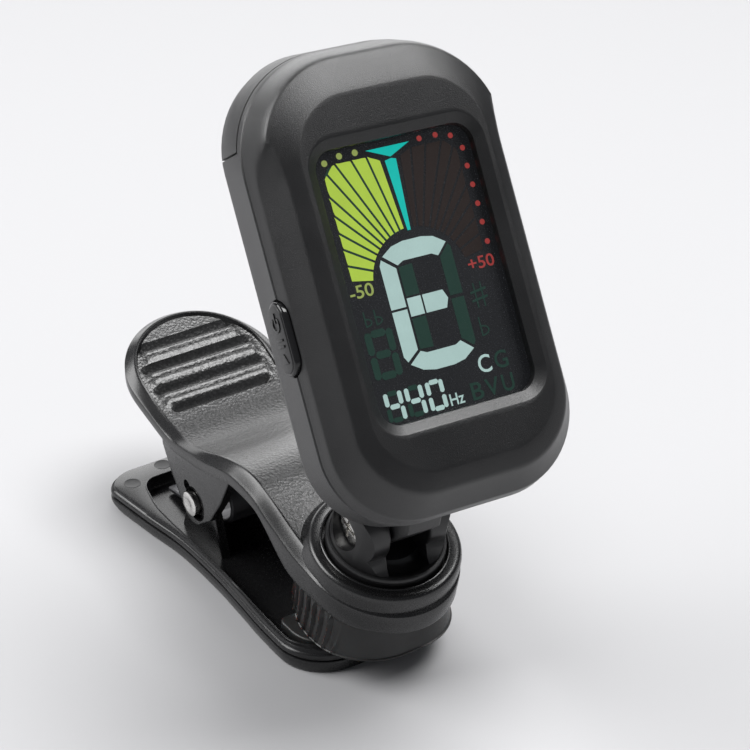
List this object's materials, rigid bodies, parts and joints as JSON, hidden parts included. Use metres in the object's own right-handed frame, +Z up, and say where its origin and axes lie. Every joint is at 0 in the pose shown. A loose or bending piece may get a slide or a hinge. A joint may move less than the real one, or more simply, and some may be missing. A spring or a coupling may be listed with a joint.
{
  "type": "clip-on tuner",
  "caption": "Clip-on instrument tuner: a lit display head on a swivel and tilt hinge, held by a sprung clip with rubber pads.",
  "frame": {"origin": "middle of the flat resting face under the lower jaw", "axes": "+Z up, +X along the clip from the thumb pad to the jaw tips, +Y across the clip"},
  "size_m": [0.0669, 0.0304, 0.07],
  "materials": {
    "case_front": "fine satin texture",
    "case_rear": "fine matte texture",
    "clip_plastic": "smooth satin",
    "pad_rubber": "moulded, matte",
    "button_plastic": "polished edge",
    "plated_steel": "bright plated",
    "spring_steel": "rolled strip",
    "window": "polished clear",
    "display": "liquid-crystal cell",
    "diffuser": "milky light guide",
    "connector_rubber": "matte",
    "board": "solder mask",
    "chip": "moulded",
    "contact_brass": "bright"
  },
  "bodies": {
    "clip_base": {"lower_jaw": "clip_plastic", "lower_pad": "pad_rubber", "pivot_pin": "plated_steel", "clip_spring": "spring_steel"},
    "lever": {"upper_jaw": "clip_plastic", "upper_pad": "pad_rubber", "swivel_screw": "plated_steel", "swivel_washer": "plated_steel"},
    "yoke": {"swivel_yoke": "clip_plastic", "hinge_screw": "plated_steel", "hinge_nut": "plated_steel"},
    "head": {"front_case": "case_front", "rear_case": "case_rear", "display_window": "window", "lcd_panel": "display", "backlight_plate": "diffuser", "lcd_connector": "connector_rubber", "circuit_board": "board", "tuner_chip": "chip", "tact_switch": "chip", "coin_cell": "plated_steel", "contact_minus": "contact_brass", "contact_plus": "contact_brass", "piezo_sensor": "contact_brass", "case_screw_left": "plated_steel", "case_screw_right": "plated_steel"},
    "door": {"battery_door": "case_rear"},
    "button": {"power_button": "button_plastic"}
  },
  "joints": [
    {"name": "jaw_hinge", "type": "hinge", "parent": "clip_base", "child": "lever", "pos_m": [-0.0071, 0, 0.0077], "axis": [0, -1, 0], "range_deg": [0, 25], "stiffness_Nm_per_rad": 0.25, "springref_deg": -34.38, "deforming": ["clip_spring"]},
    {"name": "swivel", "type": "hinge", "parent": "lever", "child": "yoke", "pos_m": [0.021, 0, 0.0152], "axis": [0.2555, 0, 0.9668], "continuous": true},
    {"name": "tilt", "type": "hinge", "parent": "yoke", "child": "head", "pos_m": [0.02207, 0, 0.01926], "axis": [0.0691, 0.9974, -0.0183], "range_deg": [-40, 55]},
    {"name": "battery_door_slide", "type": "slide", "parent": "head", "child": "door", "axis": [-0.5457, 0.0531, 0.8363], "range_m": [0, 0.026]},
    {"name": "power_button_press", "type": "slide", "parent": "head", "child": "button", "axis": [0.0691, 0.9974, -0.0183], "range_m": [0, 0.0004], "stiffness_N_per_m": 1500}
  ]
}
